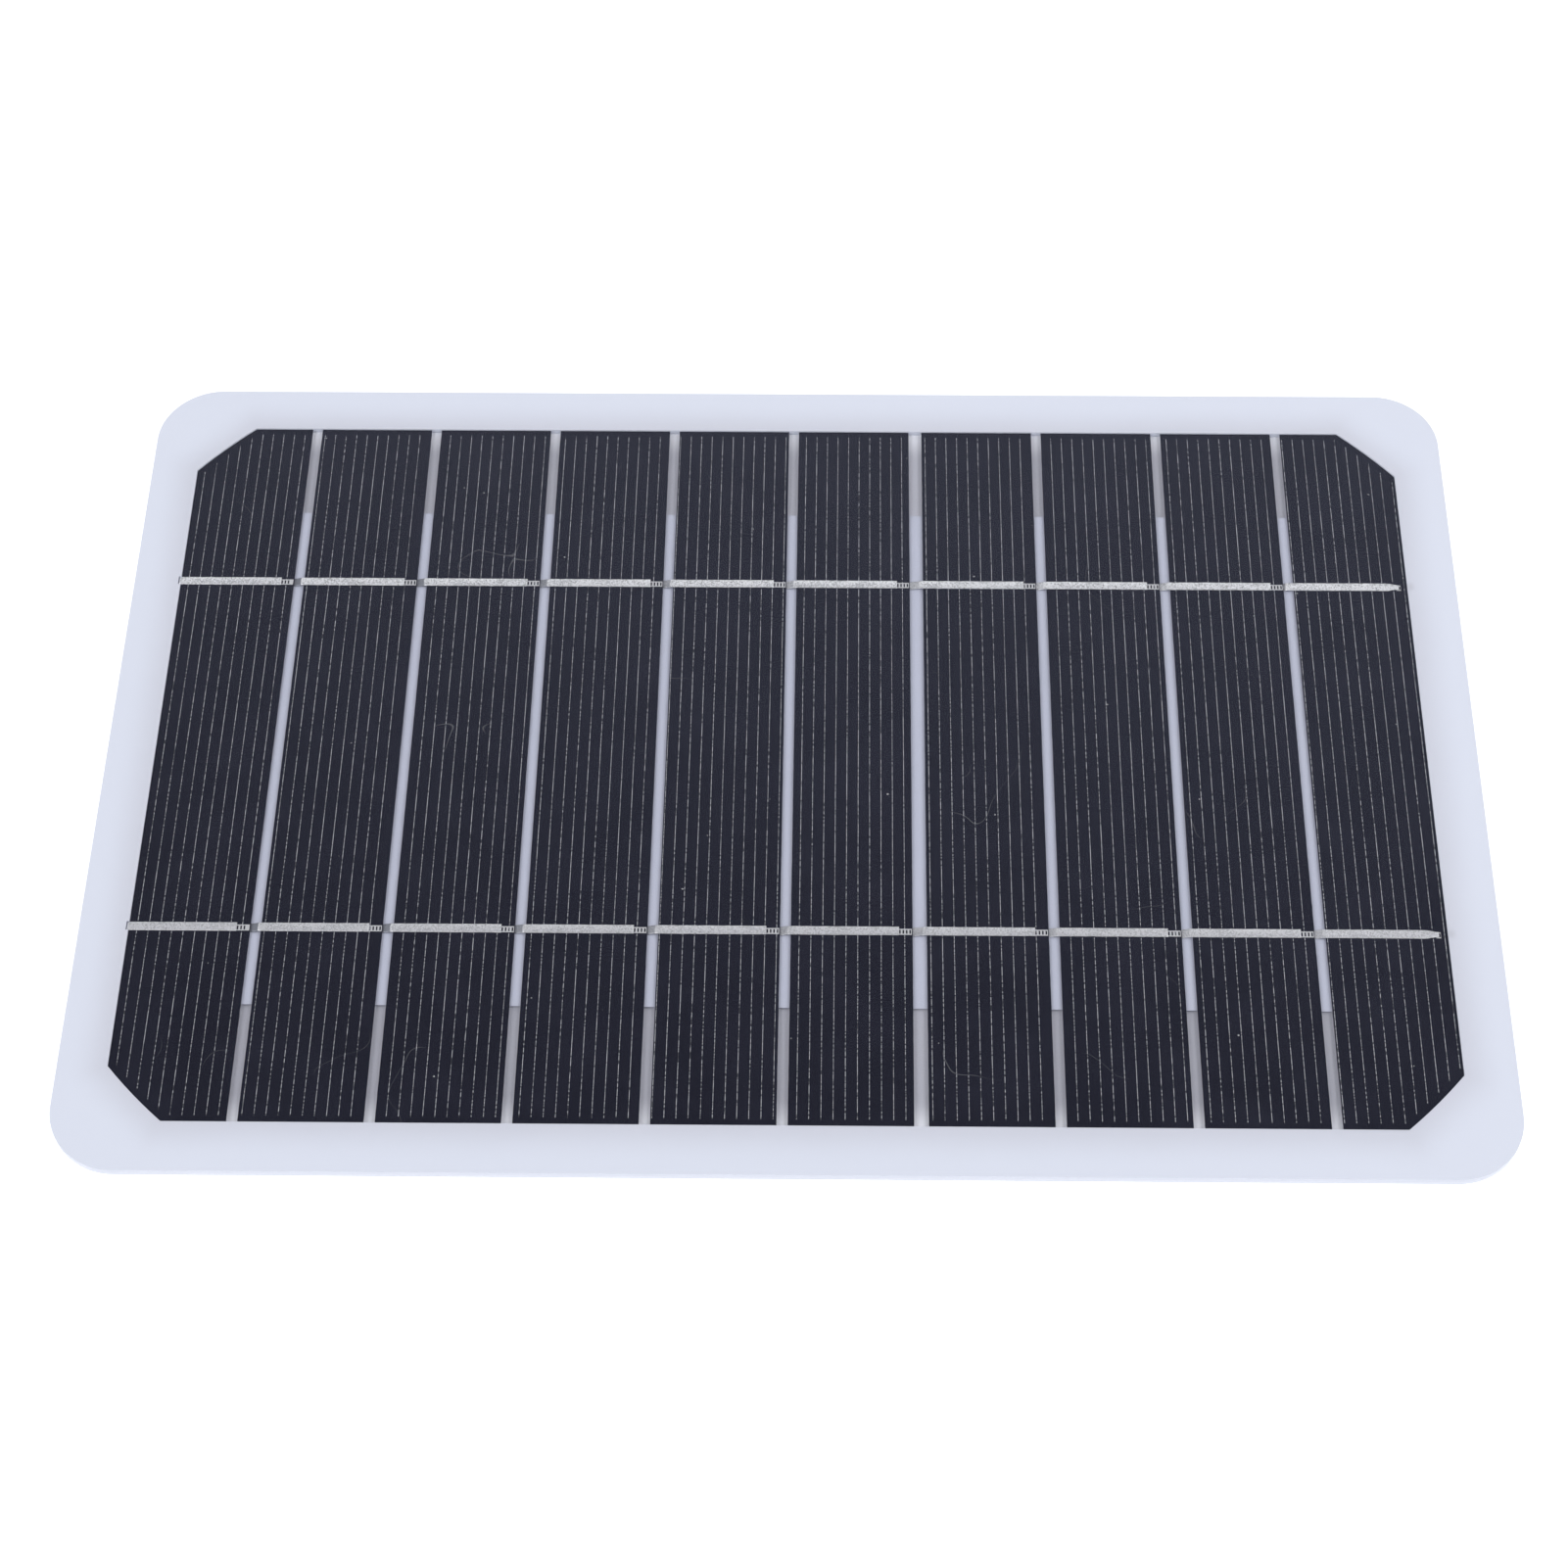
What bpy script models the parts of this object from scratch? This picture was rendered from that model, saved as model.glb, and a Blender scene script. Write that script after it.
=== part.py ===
# Flexible solar sheet: ten monocrystalline cell strips joined in series by flat ribbons, laminated
# between a frosted front film and a thin translucent back board, with two solder tabs on the back.
# Metres, +X across the strips, +Y along them, +Z towards the light. Origin: centre of the back face.

from math import atan2, cos, hypot, pi, sin, sqrt

import bmesh
import bpy
from mathutils import Vector

# Cell strips: a pseudo-square wafer cut into equal strips
CELL_COUNT = 10
CELL_LENGTH = 0.125  # the wafer's side
CELL_WIDTH = 0.01786
WAFER_CORNER = 0.00865  # missing from each side of the square at its corners
CORNER_ARC_STEPS = 6
CELL_GAP = 0.0016
WIDE_GAP = 6  # the one gap, counted from the left, that is wider than the others
WIDE_GAP_EXTRA = 0.0005

# Laminate round the strips
LEFT_MARGIN = 0.0073
RIGHT_MARGIN = 0.0077
NEAR_MARGIN = 0.0077
FAR_MARGIN = 0.0078
SHEET_RADIUS = 0.010
SHEET_CORNER_STEPS = 24

# Layers, from the back to the front
BOARD_THICKNESS = 0.00030
REAR_ENCAPSULANT_THICKNESS = 0.00010
RIBBON_THICKNESS = 0.00010
INSULATION_THICKNESS = 0.00010
CELL_THICKNESS = 0.00018
COVER_THICKNESS = 0.00010  # front encapsulant over the ribbons
FILM_THICKNESS = 0.00015
LAYER_GAP = 0.00002  # between neighbouring layers

# Ribbons
RIBBON_WIDTH = 0.0014
ROW_SPACING = 0.0627  # between the far and the near ribbon row
ROW_OFFSET = 0.0005  # of the two rows' middle, towards the far side
RIBBON_STOP = 0.0020  # from a ribbon's end to the cell's far edge
BEND_CLEARANCE = 0.00020  # between a cell's edge and a ribbon's bend in the gap
FOLD_REACH = 0.00035  # from the outer cell's edge to the middle of the folded ribbon
FOLD_CORNER = 0.00006  # cut-off at each corner of a fold

# Output: two buses, two leads and their tabs
BUS_WIDTH = 0.0020
BUS_INSET = 0.0040  # from the outer cell's edge to the bus's middle
BUS_OVERHANG = 0.0005  # of the bus past a ribbon, and of a ribbon past the bus
LEAD_WIDTH = 0.0050
TAB_SPACING = 0.0300  # between the middles of the two windows
WINDOW_LENGTH = 0.0080
WINDOW_SIDE_CLEARANCE = 0.0010  # from a tab's side to the window
WINDOW_END_CLEARANCE = 0.0006  # from a tab's end to the window
TAB_SLANT = 0.0010  # length of the lead's step down into the window
TAB_RECESS = 0.00005  # of the tab behind the back face
LEAD_EDGE_CLEARANCE = 0.00015  # from the window's edge to the start of the step

# Insulating sheet behind the cells, in front of the leads
INSULATION_NEAR = 0.0190  # from the strips' near ends to the sheet
INSULATION_FAR = 0.0168  # from the strips' far ends to the sheet
INSULATION_INSET = 0.0003  # from the outer cells' edges to the sheet

# Front encapsulant
POCKET_CLEARANCE = 0.00015  # around each piece that lies in it
CUT_EXCESS = 0.0005  # of a cutter past the face that it cuts through

array_width = CELL_COUNT * CELL_WIDTH + (CELL_COUNT - 1) * CELL_GAP + WIDE_GAP_EXTRA
sheet_length = LEFT_MARGIN + array_width + RIGHT_MARGIN
sheet_width = NEAR_MARGIN + CELL_LENGTH + FAR_MARGIN
near_end = -sheet_width / 2 + NEAR_MARGIN
far_end = sheet_width / 2 - FAR_MARGIN
strip_middle = (near_end + far_end) / 2


def stacked_levels():
    """Bottom and top of each layer, counted from the back face."""
    layers = (
        ("board", BOARD_THICKNESS),
        ("rear_encapsulant", REAR_ENCAPSULANT_THICKNESS),
        ("bus", RIBBON_THICKNESS),
        ("lead", RIBBON_THICKNESS),
        ("insulation", INSULATION_THICKNESS),
        ("rear_ribbon", RIBBON_THICKNESS),
        ("cell", CELL_THICKNESS),
        ("front_ribbon", RIBBON_THICKNESS),
        ("cover", COVER_THICKNESS),
        ("film", FILM_THICKNESS),
    )
    levels = {}
    bottom = 0.0
    for name, thickness in layers:
        levels[name] = (bottom, bottom + thickness)
        bottom += thickness + LAYER_GAP
    return levels


def middle(level):
    return (level[0] + level[1]) / 2


def strip_places():
    """Left and right edge of each strip."""
    left = -sheet_length / 2 + LEFT_MARGIN
    places = []
    for number in range(1, CELL_COUNT + 1):
        places.append((left, left + CELL_WIDTH))
        left += CELL_WIDTH + CELL_GAP
        if number == WIDE_GAP:
            left += WIDE_GAP_EXTRA
    return places


levels = stacked_levels()
strips = strip_places()
rows = {
    "far": strip_middle + ROW_OFFSET + ROW_SPACING / 2,
    "near": strip_middle + ROW_OFFSET - ROW_SPACING / 2,
}
window_width = LEAD_WIDTH + 2 * WINDOW_SIDE_CLEARANCE
insulation_box = (
    strips[0][0] + INSULATION_INSET,
    near_end + INSULATION_NEAR,
    strips[-1][1] - INSULATION_INSET,
    far_end - INSULATION_FAR,
)


def make_material(name, colour, roughness, metallic=0.0, alpha=1.0):
    material = bpy.data.materials.new(name)
    material.use_nodes = True
    shader = material.node_tree.nodes["Principled BSDF"]
    shader.inputs["Base Color"].default_value = (*colour, 1.0)
    shader.inputs["Roughness"].default_value = roughness
    shader.inputs["Metallic"].default_value = metallic
    shader.inputs["Alpha"].default_value = alpha
    material.diffuse_color = (*colour, alpha)
    return material


def add_object(name, mesh_data, material, location=(0, 0, 0)):
    mesh = bpy.data.meshes.new(name)
    bmesh.ops.recalc_face_normals(mesh_data, faces=mesh_data.faces)
    mesh_data.to_mesh(mesh)
    mesh_data.free()
    mesh.materials.append(material)
    piece = bpy.data.objects.new(name, mesh)
    piece.location = location
    piece.parent = laminate
    bpy.context.collection.objects.link(piece)
    return piece


def slab(name, outline, level, material):
    """Flat piece: an outline in the XY plane, as thick as its level."""
    shape = bmesh.new()
    face = shape.faces.new([shape.verts.new((x, y, 0)) for x, y in outline])
    raised = bmesh.ops.extrude_face_region(shape, geom=[face])
    top = [v for v in raised["geom"] if isinstance(v, bmesh.types.BMVert)]
    bmesh.ops.translate(shape, verts=top, vec=(0, 0, level[1] - level[0]))
    return add_object(name, shape, material, (0, 0, level[0]))


def rectangle(low_x, low_y, high_x, high_y):
    return [(low_x, low_y), (high_x, low_y), (high_x, high_y), (low_x, high_y)]


def rounded_outline():
    """The laminate's outline, counter-clockwise from the corner at +X, +Y."""
    reach_x = sheet_length / 2 - SHEET_RADIUS
    reach_y = sheet_width / 2 - SHEET_RADIUS
    outline = []
    for quarter, (side_x, side_y) in enumerate(((1, 1), (-1, 1), (-1, -1), (1, -1))):
        for step in range(SHEET_CORNER_STEPS + 1):
            angle = pi / 2 * (quarter + step / SHEET_CORNER_STEPS)
            x = side_x * reach_x + SHEET_RADIUS * cos(angle)
            y = side_y * reach_y + SHEET_RADIUS * sin(angle)
            outline.append((x, y))
    return outline


def wafer_corner(centre_x, side_x, side_y, growth):
    """Points on the round wafer's rim at one corner of the square, from the X side to the Y side."""
    radius = hypot(CELL_LENGTH / 2, CELL_LENGTH / 2 - WAFER_CORNER) + growth
    half = CELL_LENGTH / 2 + growth
    rim = sqrt(radius**2 - half**2)
    start = atan2(rim, half)
    sweep = atan2(half, rim) - start
    points = []
    for step in range(CORNER_ARC_STEPS + 1):
        angle = start + sweep * step / CORNER_ARC_STEPS
        x = centre_x + side_x * radius * cos(angle)
        y = strip_middle + side_y * radius * sin(angle)
        points.append((x, y))
    return points


def cell_outline(index, growth=0.0):
    """A strip's outline, counter-clockwise from near left. The outer strips keep the wafer's corners."""
    left, right = strips[index]
    near = near_end - growth
    far = far_end + growth
    left_corner = [(left - growth, near)]
    right_corner = [(right + growth, near)]
    if index == 0:
        left_corner = wafer_corner(left + CELL_LENGTH / 2, -1, -1, growth)
    if index == CELL_COUNT - 1:
        right_corner = wafer_corner(right - CELL_LENGTH / 2, 1, -1, growth)
    near_side = left_corner + right_corner[::-1]
    far_side = [(x, near + far - y) for x, y in reversed(near_side)]
    return near_side + far_side


def folded_strip(name, path, width, centre_y, material):
    """Flat strip bent along a path in the XZ plane, with its thickness split evenly about the path."""
    points = [Vector(point) for point in path]
    runs = [(b - a).normalized() for a, b in zip(points, points[1:])]
    above, below = [], []
    for index, point in enumerate(points):
        before = runs[max(index - 1, 0)]
        after = runs[min(index, len(runs) - 1)]
        across = Vector((-(before.y + after.y), before.x + after.x)).normalized()
        mitre = across / across.dot(Vector((-after.y, after.x)))
        above.append(point + mitre * RIBBON_THICKNESS / 2)
        below.append(point - mitre * RIBBON_THICKNESS / 2)
    shape = bmesh.new()
    profile = [shape.verts.new((p.x, -width / 2, p.y)) for p in above + below[::-1]]
    face = shape.faces.new(profile)
    swept = bmesh.ops.extrude_face_region(shape, geom=[face])
    side = [v for v in swept["geom"] if isinstance(v, bmesh.types.BMVert)]
    bmesh.ops.translate(shape, verts=side, vec=(0, width, 0))
    return add_object(name, shape, material, (0, centre_y, 0))


def fold(edge_x, outward, top, bottom):
    """The four path points of a strip that turns down outside an edge and back under it."""
    x = edge_x + outward * FOLD_REACH
    return [
        (x - outward * FOLD_CORNER, top),
        (x, top - FOLD_CORNER),
        (x, bottom + FOLD_CORNER),
        (x - outward * FOLD_CORNER, bottom),
    ]


def link_path(index):
    """From the front of a strip, down through the gap on its left, to the back of its left neighbour."""
    left_cell, right_cell = strips[index - 1], strips[index]
    front = middle(levels["front_ribbon"])
    back = middle(levels["rear_ribbon"])
    return [
        (left_cell[0] + RIBBON_STOP, back),
        (left_cell[1] + BEND_CLEARANCE, back),
        (right_cell[0] - BEND_CLEARANCE, front),
        (right_cell[1] - RIBBON_STOP, front),
    ]


def negative_path():
    """From the front of the first strip, round its outer edge and under the insulating sheet to the bus."""
    left, right = strips[0]
    front = middle(levels["front_ribbon"])
    back = middle(levels["lead"])
    inner_end = left + BUS_INSET + BUS_WIDTH / 2 + BUS_OVERHANG
    return [(right - RIBBON_STOP, front), *fold(left, -1, front, back), (inner_end, back)]


def positive_path():
    """From the back of the last strip, round the insulating sheet's edge and under it to the bus."""
    left, right = strips[-1]
    front = middle(levels["rear_ribbon"])
    back = middle(levels["lead"])
    inner_end = right - BUS_INSET - BUS_WIDTH / 2 - BUS_OVERHANG
    return [(left + RIBBON_STOP, front), *fold(right, 1, front, back), (inner_end, back)]


def window_box(side):
    centre = side * TAB_SPACING / 2
    half = WINDOW_LENGTH / 2
    return (centre - half, -window_width / 2, centre + half, window_width / 2)


def lead_path(side):
    """From the bus towards the middle, then down through the window to the tab."""
    edge = strips[0][0] if side < 0 else strips[-1][1]
    high = middle(levels["lead"])
    low = TAB_RECESS + RIBBON_THICKNESS / 2
    outer = edge - side * (BUS_INSET - BUS_WIDTH / 2 - BUS_OVERHANG)
    step = side * (TAB_SPACING / 2 + WINDOW_LENGTH / 2 - LEAD_EDGE_CLEARANCE)
    end = side * (TAB_SPACING / 2 - WINDOW_LENGTH / 2 + WINDOW_END_CLEARANCE)
    return [(outer, high), (step, high), (step - side * TAB_SLANT, low), (end, low)]


def cut(piece, cutter):
    cutter.hide_render = True
    cutter.display_type = "WIRE"
    modifier = piece.modifiers.new(cutter.name, "BOOLEAN")
    modifier.operation = "DIFFERENCE"
    modifier.object = cutter


def grown(box, growth):
    return (box[0] - growth, box[1] - growth, box[2] + growth, box[3] + growth)


def make_cells():
    for index in range(CELL_COUNT):
        slab(f"cell_{index + 1:02d}", cell_outline(index), levels["cell"], silicon)


def make_ribbons():
    for row, centre_y in rows.items():
        for index in range(1, CELL_COUNT):
            name = f"link_ribbon_{row}_{index:02d}"
            folded_strip(name, link_path(index), RIBBON_WIDTH, centre_y, tinned_copper)
        folded_strip(f"negative_ribbon_{row}", negative_path(), RIBBON_WIDTH, centre_y, tinned_copper)
        folded_strip(f"positive_ribbon_{row}", positive_path(), RIBBON_WIDTH, centre_y, tinned_copper)


def make_output():
    reach = RIBBON_WIDTH / 2 + BUS_OVERHANG
    for name, side, edge in (("negative", -1, strips[0][0]), ("positive", 1, strips[-1][1])):
        centre = edge - side * BUS_INSET
        bus = (centre - BUS_WIDTH / 2, rows["near"] - reach, centre + BUS_WIDTH / 2, rows["far"] + reach)
        slab(f"{name}_bus", rectangle(*bus), levels["bus"], tinned_copper)
        folded_strip(f"{name}_lead", lead_path(side), LEAD_WIDTH, 0, tinned_copper)


def make_windowed_sheet(name, level, material):
    """Full-size sheet with an opening for each tab."""
    sheet = slab(name, rounded_outline(), level, material)
    opened = (level[0] - CUT_EXCESS, level[1] + CUT_EXCESS)
    for label, side in (("negative", -1), ("positive", 1)):
        opening = rectangle(*window_box(side))
        cut(sheet, slab(f"{name}_{label}_window", opening, opened, cutter_material))


def make_front_encapsulant():
    """Border round the strips, webs between them and a cover over them, with pockets open at the back."""
    bottom = levels["bus"][0]
    top = levels["cover"][1]
    encapsulant = slab("front_encapsulant", rounded_outline(), (bottom, top), clear_plastic)
    for index in range(CELL_COUNT):
        pocket = (bottom - CUT_EXCESS, levels["cell"][1] + LAYER_GAP)
        outline = cell_outline(index, POCKET_CLEARANCE)
        cut(encapsulant, slab(f"cell_pocket_{index + 1:02d}", outline, pocket, cutter_material))
    fold_reach = FOLD_REACH + RIBBON_THICKNESS / 2 + POCKET_CLEARANCE
    half_width = RIBBON_WIDTH / 2 + POCKET_CLEARANCE
    channel = (bottom - 2 * CUT_EXCESS, levels["front_ribbon"][1] + LAYER_GAP)
    left = strips[0][0] - fold_reach
    right = strips[-1][1] + fold_reach
    for row, centre_y in rows.items():
        outline = rectangle(left, centre_y - half_width, right, centre_y + half_width)
        cut(encapsulant, slab(f"ribbon_channel_{row}", outline, channel, cutter_material))
    recess = (bottom - 3 * CUT_EXCESS, levels["insulation"][1] + LAYER_GAP)
    outline = rectangle(*grown(insulation_box, POCKET_CLEARANCE))
    cut(encapsulant, slab("insulation_recess", outline, recess, cutter_material))


for old in list(bpy.data.objects):
    bpy.data.objects.remove(old)

laminate = bpy.data.objects.new("laminate", None)
bpy.context.collection.objects.link(laminate)

silicon = make_material("silicon", (0.022, 0.023, 0.036), 0.35)
tinned_copper = make_material("tinned_copper", (0.62, 0.64, 0.66), 0.35, metallic=1.0)
frosted_film = make_material("frosted_film", (0.80, 0.84, 0.92), 0.45, alpha=0.15)
clear_plastic = make_material("clear_plastic", (0.72, 0.76, 0.86), 0.5, alpha=0.5)
milky_plastic = make_material("milky_plastic", (0.66, 0.70, 0.80), 0.5)
white_plastic = make_material("white_plastic", (0.60, 0.63, 0.70), 0.6)
cutter_material = make_material("cutter", (0.8, 0.2, 0.2), 0.5)

make_windowed_sheet("back_board", levels["board"], milky_plastic)
make_windowed_sheet("rear_encapsulant", levels["rear_encapsulant"], clear_plastic)
slab("insulating_sheet", rectangle(*insulation_box), levels["insulation"], white_plastic)
make_output()
make_cells()
make_ribbons()
make_front_encapsulant()
slab("front_film", rounded_outline(), levels["film"], frosted_film)
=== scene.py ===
from math import atan2, hypot, radians, sqrt

import bmesh
import bpy
from mathutils import Euler, Matrix, Vector


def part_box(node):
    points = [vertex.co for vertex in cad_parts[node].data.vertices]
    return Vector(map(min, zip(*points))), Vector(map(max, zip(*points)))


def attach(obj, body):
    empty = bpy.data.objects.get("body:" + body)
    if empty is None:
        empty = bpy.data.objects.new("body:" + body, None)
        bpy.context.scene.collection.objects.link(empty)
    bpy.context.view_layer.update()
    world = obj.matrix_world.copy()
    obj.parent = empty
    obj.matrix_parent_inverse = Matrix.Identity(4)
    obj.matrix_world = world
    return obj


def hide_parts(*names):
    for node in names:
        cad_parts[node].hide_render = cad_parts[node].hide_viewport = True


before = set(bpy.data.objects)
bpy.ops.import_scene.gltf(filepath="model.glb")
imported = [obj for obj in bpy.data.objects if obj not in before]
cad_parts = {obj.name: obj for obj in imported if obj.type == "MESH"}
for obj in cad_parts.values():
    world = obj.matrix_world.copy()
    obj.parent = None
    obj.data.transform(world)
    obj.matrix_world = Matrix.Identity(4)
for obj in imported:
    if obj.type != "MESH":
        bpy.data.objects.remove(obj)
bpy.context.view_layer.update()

print("frame loaded:", len(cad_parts), "nodes")

mm = 0.001
scene = bpy.context.scene
cellNames = sorted(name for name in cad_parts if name.startswith("cell_"))
cells = [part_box(name) for name in cellNames]
cellTop = cells[0][1].z
ribbonLow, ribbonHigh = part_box("link_ribbon_far_01")
ribbonThickness = 0.1 * mm
ribbonWidth = ribbonHigh.y - ribbonLow.y
rowMiddles = {}
for row in ("far", "near"):
    low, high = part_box(f"link_ribbon_{row}_01")
    rowMiddles[row] = (low.y + high.y) / 2


class Socket:  # one output of a node
    def __init__(self, graph, output):
        self.graph = graph
        self.output = output

    def other(self, name):  # another output of the same node
        return Socket(self.graph, self.output.node.outputs[name])

    def __add__(self, value):
        return self.graph.maths("ADD", self, value)

    def __radd__(self, value):
        return self.graph.maths("ADD", value, self)

    def __sub__(self, value):
        return self.graph.maths("SUBTRACT", self, value)

    def __rsub__(self, value):
        return self.graph.maths("SUBTRACT", value, self)

    def __mul__(self, value):
        return self.graph.maths("MULTIPLY", self, value)

    def __truediv__(self, value):
        return self.graph.maths("DIVIDE", self, value)

    def __pow__(self, value):
        return self.graph.maths("POWER", self, value)

    def __abs__(self):
        return self.graph.maths("ABSOLUTE", self)

    def __gt__(self, value):
        return self.graph.maths("GREATER_THAN", self, value)

    def __lt__(self, value):
        return self.graph.maths("LESS_THAN", self, value)


class Graph:  # a node tree being written
    def __init__(self, tree):
        self.tree = tree

    def put(self, kind, settings={}, inputs={}, output=0):
        node = self.tree.nodes.new(kind)
        for name, value in settings.items():
            if name == "stops":
                self.setStops(node.color_ramp.elements, value)
            else:
                setattr(node, name, value)
        for name, value in inputs.items():
            self.feed(node.inputs[name], value)
        return Socket(self, node.outputs[output]) if len(node.outputs) else node

    def feed(self, socket, value):
        if isinstance(value, Socket):
            self.tree.links.new(value.output, socket)
        elif isinstance(value, list):
            for each in value:
                self.tree.links.new(each.output, socket)
        else:
            socket.default_value = value

    def setStops(self, elements, stops):
        while len(elements) < len(stops):
            elements.new(1.0)
        for element, (place, colour) in zip(elements, stops):
            element.position = place
            element.color = (*colour, 1.0)

    def maths(self, operation, *values):
        return self.put("ShaderNodeMath", {"operation": operation}, dict(enumerate(values)))

    def larger(self, first, *rest):
        for value in rest:
            first = self.maths("MAXIMUM", first, value)
        return first

    def vectorMaths(self, operation, *values):
        return self.put("ShaderNodeVectorMath", {"operation": operation}, dict(enumerate(values)))

    def vector(self, x=0.0, y=0.0, z=0.0):
        return self.put("ShaderNodeCombineXYZ", {}, {"X": x, "Y": y, "Z": z})

    def ease(self, value, start, end):  # 0 before start, 1 after end, soft between
        inputs = {"Value": value, "From Min": start, "From Max": end}
        return self.put("ShaderNodeMapRange", {"interpolation_type": "SMOOTHSTEP"}, inputs)

    def colour(self, factor, first, second):
        first, second = ((*c, 1.0) if isinstance(c, tuple) else c for c in (first, second))
        return self.put("ShaderNodeMix", {"data_type": "RGBA"}, {0: factor, 6: first, 7: second}, 2)

    def noise(self, place, grain, detail=2.0, roughness=0.5):  # grain is in metres
        inputs = {"Vector": place, "Scale": 1 / grain, "Detail": detail, "Roughness": roughness}
        return self.put("ShaderNodeTexNoise", {}, inputs)


class Paint(Graph):  # a material with one Principled shader
    def __init__(self, name, colour, roughness, metallic=0.0, **constants):
        self.material = bpy.data.materials.new(name)
        self.material.use_nodes = True
        super().__init__(self.material.node_tree)
        self.shader = self.tree.nodes["Principled BSDF"]
        self.set(Base_Color=(*colour, 1.0), Roughness=roughness, Metallic=metallic, **constants)
        self.material.diffuse_color = (*colour, 1.0)
        self.place = self.put("ShaderNodeTexCoord", {}, {}, "Object")
        split = self.put("ShaderNodeSeparateXYZ", {}, {"Vector": self.place})
        self.x, self.y, self.z = split, split.other("Y"), split.other("Z")

    def set(self, **values):
        for name, value in values.items():
            self.feed(self.shader.inputs[name.replace("_", " ")], value)

    def facing(self):  # the Z part of the surface's own normal
        normal = self.put("ShaderNodeNewGeometry", {}, {}, "True Normal")
        return self.put("ShaderNodeSeparateXYZ", {}, {"Vector": normal}, "Z")

    def relief(self, height, depth):
        inputs = {"Height": height, "Distance": depth, "Strength": 1.0}
        self.set(Normal=self.put("ShaderNodeBump", {}, inputs))


def outlineOf(node):  # corners of a flat CAD piece, counter-clockwise
    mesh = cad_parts[node].data
    top = max(v.co.z for v in mesh.vertices)
    points = {(round(v.co.x, 7), round(v.co.y, 7)) for v in mesh.vertices if v.co.z > top - 0.01 * mm}
    middle = Vector((sum(p[0] for p in points), sum(p[1] for p in points))) / len(points)
    return sorted(points, key=lambda p: atan2(p[1] - middle.y, p[0] - middle.x))


arrayLow, arrayHigh = cells[0][0], cells[-1][1]
arrayMiddle = (arrayLow + arrayHigh) / 2
arrayHalf = (arrayHigh - arrayLow) / 2
leftEdge = [p[1] for p in outlineOf(cellNames[0]) if p[0] < arrayLow.x + 0.01 * mm]
cornerLeg = arrayHigh.y - max(leftEdge)
waferHalf = (arrayHigh.y - arrayLow.y) / 2
waferRadius = hypot(waferHalf, waferHalf - cornerLeg)


def distanceFromArray(paint):  # along the surface, positive outside the cells' common outline
    sideways = abs(paint.x - arrayMiddle.x) - arrayHalf.x
    lengthways = abs(paint.y - arrayMiddle.y) - arrayHalf.y
    corner = (sideways + lengthways + cornerLeg) * sqrt(0.5)
    return paint.larger(sideways, lengthways, corner)


siliconLook = {
    "body": (0.0039, 0.0038, 0.0088),
    "cloud": (0.0064, 0.0062, 0.0128),
    "coating": (0.62, 0.68, 1.0, 1.0),
    "gloss": 0.25,
    "rim": (0.030, 0.022, 0.040),
    "back": (0.30, 0.30, 0.31),
    "dust": (0.42, 0.43, 0.45),
    "cloudGrain": 9 * mm,
    "hairGrain": 13 * mm,
    "hairPatch": 21 * mm,
    "hairWidth": 0.0013,
    "hairShare": 0.16,
    "dustShade": 0.8,
    "dustCell": 3.4 * mm,
    "dustSize": 0.045,
    "dustShare": 0.45,
    "roughness": 0.36,
}


def siliconPaint(look):
    paint = Paint("siliconCoat", look["body"], look["roughness"])
    paint.set(Specular_IOR_Level=look["gloss"], Specular_Tint=look["coating"])
    cloud = paint.ease(paint.noise(paint.place, look["cloudGrain"], 4.0), 0.35, 0.75)
    grain = paint.noise(paint.place, 0.12 * mm, 1.0)
    colour = paint.colour(cloud * 0.85 + grain * 0.15, look["body"], look["cloud"])
    flat = paint.put("ShaderNodeCombineXYZ", {}, {"X": paint.x, "Y": paint.y})
    inputs = {"Vector": flat, "Scale": 1 / look["dustCell"], "Randomness": 1.0}
    spot = paint.put("ShaderNodeTexVoronoi", {}, inputs, "Distance")
    chance = paint.put("ShaderNodeSeparateColor", {}, {"Color": spot.other("Color")})
    ragged = spot + (paint.noise(paint.place, 0.15 * mm) - 0.5) * 0.08
    dust = (ragged < chance.other("Green") * look["dustSize"]) * (chance < look["dustShare"])
    colour = paint.colour(dust * look["dustShade"], colour, look["dust"])
    level = paint.noise(flat, look["hairGrain"], 1.0, 0.3)  # a few hair scratches along its contours
    patch = paint.ease(paint.noise(flat, look["hairPatch"], 1.0), 0.62, 0.68)
    hair = (abs(level - 0.47) < look["hairWidth"]) * patch
    colour = paint.colour(hair * look["hairShare"], colour, look["dust"])
    facing = paint.facing()
    colour = paint.colour(abs(facing) < 0.5, colour, look["rim"])
    colour = paint.colour(facing < -0.5, colour, look["back"])
    paint.set(Base_Color=colour, Roughness=look["roughness"] + (cloud - 0.5) * 0.06 + dust * 0.3)
    paint.relief(grain, 0.002 * mm)
    return paint.material


pasteLook = {
    "silver": (0.37, 0.385, 0.425),
    "worn": (0.020, 0.021, 0.030),
    "breakGrain": 0.36 * mm,
    "roughness": 0.6,
}


def pastePaint(look):
    paint = Paint("silverPaste", look["silver"], look["roughness"])
    long = paint.vector(paint.x * 0.8, paint.y, paint.z)
    broken = paint.noise(long, look["breakGrain"], 2.0, 0.6)
    slow = paint.noise(paint.place, 6 * mm)
    kept = paint.ease(broken + (slow - 0.5) * 0.25, 0.40, 0.56)
    paint.set(Base_Color=paint.colour(kept, look["worn"], look["silver"]))
    paint.relief(broken, 0.01 * mm)
    return paint.material


barPasteLook = {
    "silver": (0.54, 0.545, 0.575),
    "stain": (0.33, 0.335, 0.36),
    "grain": 0.12 * mm,
    "roughness": 0.5,
}


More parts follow.
